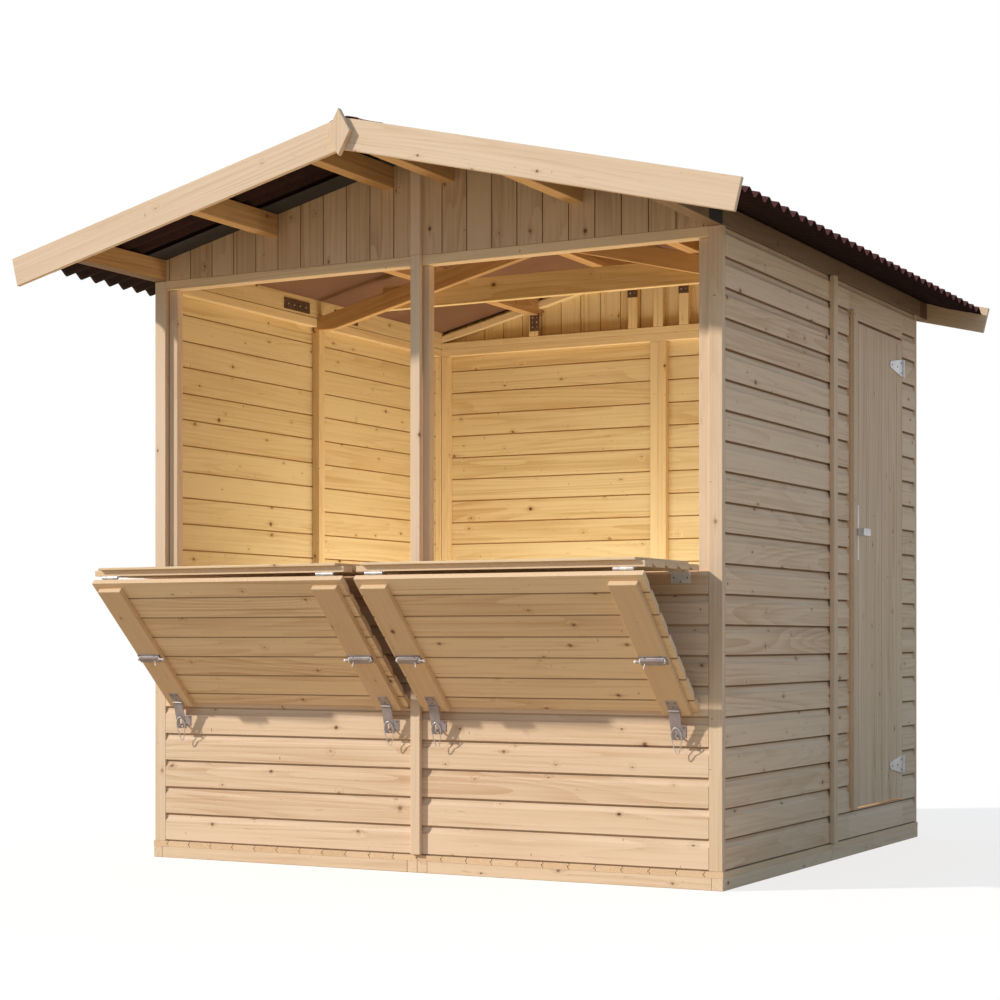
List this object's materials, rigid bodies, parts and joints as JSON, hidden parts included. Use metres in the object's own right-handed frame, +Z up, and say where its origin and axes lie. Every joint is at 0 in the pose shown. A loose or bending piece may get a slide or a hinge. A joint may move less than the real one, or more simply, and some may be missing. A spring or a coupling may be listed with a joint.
{
  "type": "wooden market hut",
  "caption": "Small boarded timber sales hut with a low pitched sheet roof, two fold-out serving counters with propping flaps, a side door and an open truss inside",
  "frame": {"origin": "the centre of the base's footprint, on the ground", "axes": "-Y is the serving front, +X is the side with the door, +Z is up"},
  "size_m": [2.482, 2.4855, 2.258],
  "materials": {
    "boards": "planed softwood, unpainted",
    "framing": "planed softwood, honey coloured",
    "floor": "treated softwood",
    "roof_sheet": "coated profiled sheet, reddish brown above and dark below",
    "felt": "black roofing underlay",
    "steel": "zinc plated"
  },
  "bodies": {
    "hut": {"back_frame": "framing", "back_gable": "boards", "back_wall": "boards", "bargeboards": "boards", "corner_boards": "boards", "cover_battens": "boards", "door_hinge_plates": "steel", "finials": "boards", "floor_boards": "floor", "floor_frame": "floor", "front_frame": "framing", "front_gable": "boards", "front_header": "framing", "front_panels": "boards", "gable_frames": "framing", "left_frame": "framing", "left_wall": "boards", "purlins": "framing", "rafters": "framing", "ridge_cap": "roof_sheet", "right_frame": "framing", "right_wall_beside_door": "boards", "right_wall_front": "boards", "right_wall_over_door": "boards", "right_wall_under_door": "boards", "roof_felt": "felt", "roof_sheet_left": "roof_sheet", "roof_sheet_right": "roof_sheet", "tie_beam": "framing", "wall_fittings": "steel"},
    "door": {"door_leaf": "boards", "door_ledges": "boards", "door_strip": "boards", "door_handle": "steel", "door_hinge_straps": "steel"},
    "counter_left": {"counter_left": "boards", "counter_hinges_left": "steel"},
    "flap_left": {"flap_left": "boards", "flap_fittings_left": "steel"},
    "counter_right": {"counter_right": "boards", "counter_hinges_right": "steel"},
    "flap_right": {"flap_right": "boards", "flap_fittings_right": "steel"}
  },
  "joints": [
    {"name": "door_swing", "type": "hinge", "parent": "hut", "child": "door", "pos_m": [1.0145, 0.7605, 0.9], "axis": [0, 0, 1], "range_deg": [0, 105]},
    {"name": "counter_fold_left", "type": "hinge", "parent": "hut", "child": "counter_left", "pos_m": [-0.48225, -0.945, 0.9115], "axis": [-1, 0, 0], "range_deg": [0, 90]},
    {"name": "flap_fold_left", "type": "hinge", "parent": "counter_left", "child": "flap_left", "pos_m": [-0.48225, -1.331, 0.912], "axis": [-1, 0, 0], "range_deg": [0, 135.6]},
    {"name": "counter_fold_right", "type": "hinge", "parent": "hut", "child": "counter_right", "pos_m": [0.48225, -0.945, 0.9115], "axis": [-1, 0, 0], "range_deg": [0, 90]},
    {"name": "flap_fold_right", "type": "hinge", "parent": "counter_right", "child": "flap_right", "pos_m": [0.48225, -1.331, 0.912], "axis": [-1, 0, 0], "range_deg": [0, 135.6]}
  ]
}
